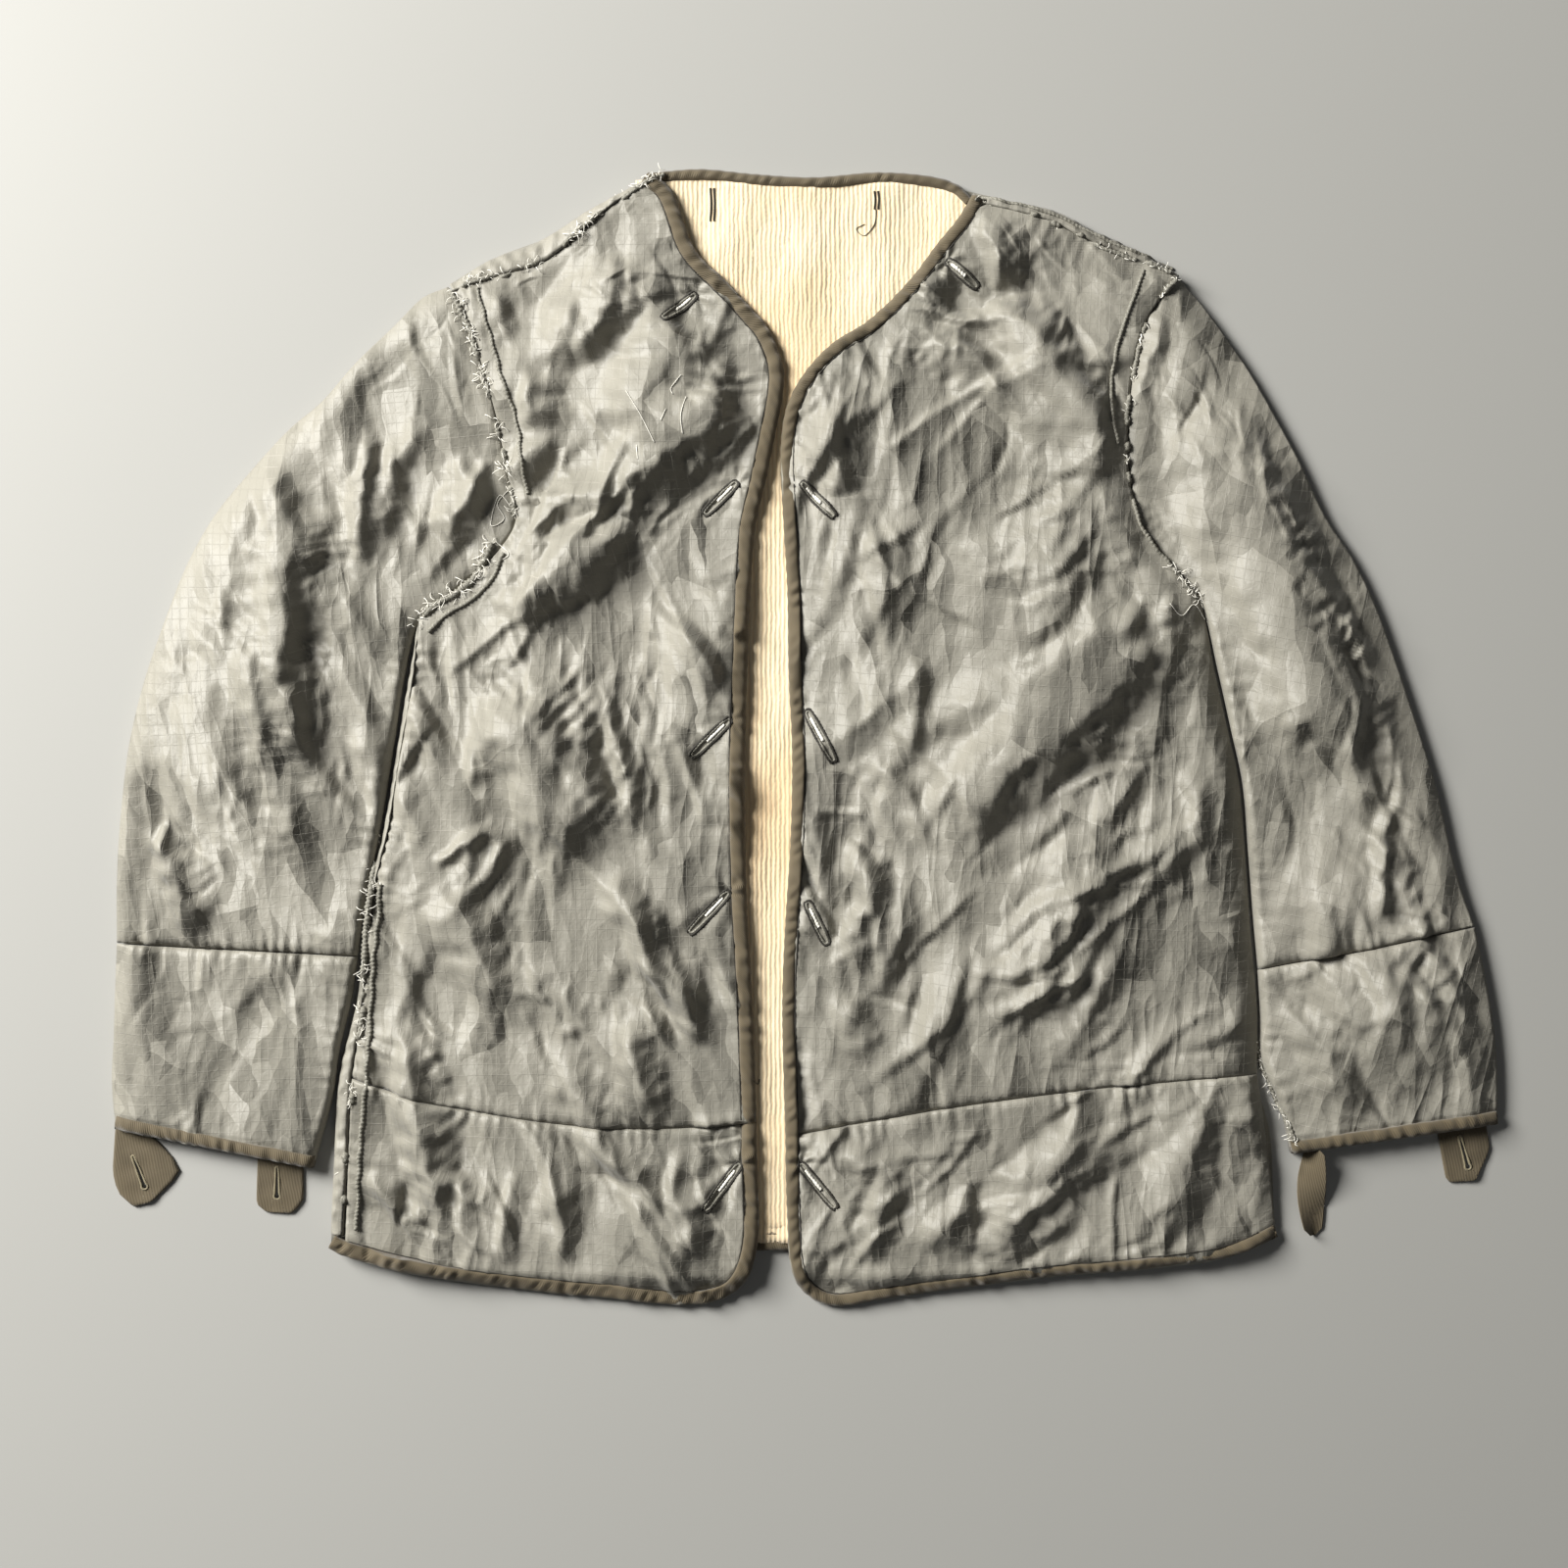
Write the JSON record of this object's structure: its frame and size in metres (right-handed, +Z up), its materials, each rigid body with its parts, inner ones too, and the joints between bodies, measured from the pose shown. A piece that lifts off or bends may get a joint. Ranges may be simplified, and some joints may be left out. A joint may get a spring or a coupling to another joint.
{
  "type": "jacket liner",
  "caption": "Collarless field-jacket liner of crinkled nylon over ribbed wool pile, bound with bias tape, with tabs at the cuffs, laid flat with its front up.",
  "frame": {"origin": "middle of the bounding box, on the surface that the liner lies on", "axes": "+X across the chest towards the cuff at the picture's right, +Y from the hem to the neck, +Z up out of the surface"},
  "size_m": [0.8461, 0.694, 0.0253],
  "materials": {
    "ripstop_nylon": "crinkled ripstop nylon with a soft sheen",
    "wool_pile": "ribbed wool pile, matte",
    "bias_tape": "cotton twill bias tape, matte"
  },
  "bodies": {
    "root": {"back_shell": "ripstop_nylon", "back_pile": "wool_pile", "back_neck_binding": "bias_tape", "back_hem_binding": "bias_tape", "left_front": "ripstop_nylon", "left_hem_band": "ripstop_nylon", "left_front_binding": "bias_tape", "right_front": "ripstop_nylon", "right_hem_band": "ripstop_nylon", "right_front_binding": "bias_tape", "left_sleeve_top": "ripstop_nylon", "left_cuff_band_top": "ripstop_nylon", "left_cuff_binding_top": "bias_tape", "left_sleeve_under": "ripstop_nylon", "left_cuff_band_under": "ripstop_nylon", "left_cuff_binding_under": "bias_tape", "right_sleeve_top": "ripstop_nylon", "right_cuff_band_top": "ripstop_nylon", "right_cuff_binding_top": "bias_tape", "right_sleeve_under": "ripstop_nylon", "right_cuff_band_under": "ripstop_nylon", "right_cuff_binding_under": "bias_tape", "left_outer_tab": "bias_tape", "left_inner_tab": "bias_tape", "right_outer_tab": "bias_tape", "right_inner_tab": "bias_tape"}
  },
  "joints": []
}
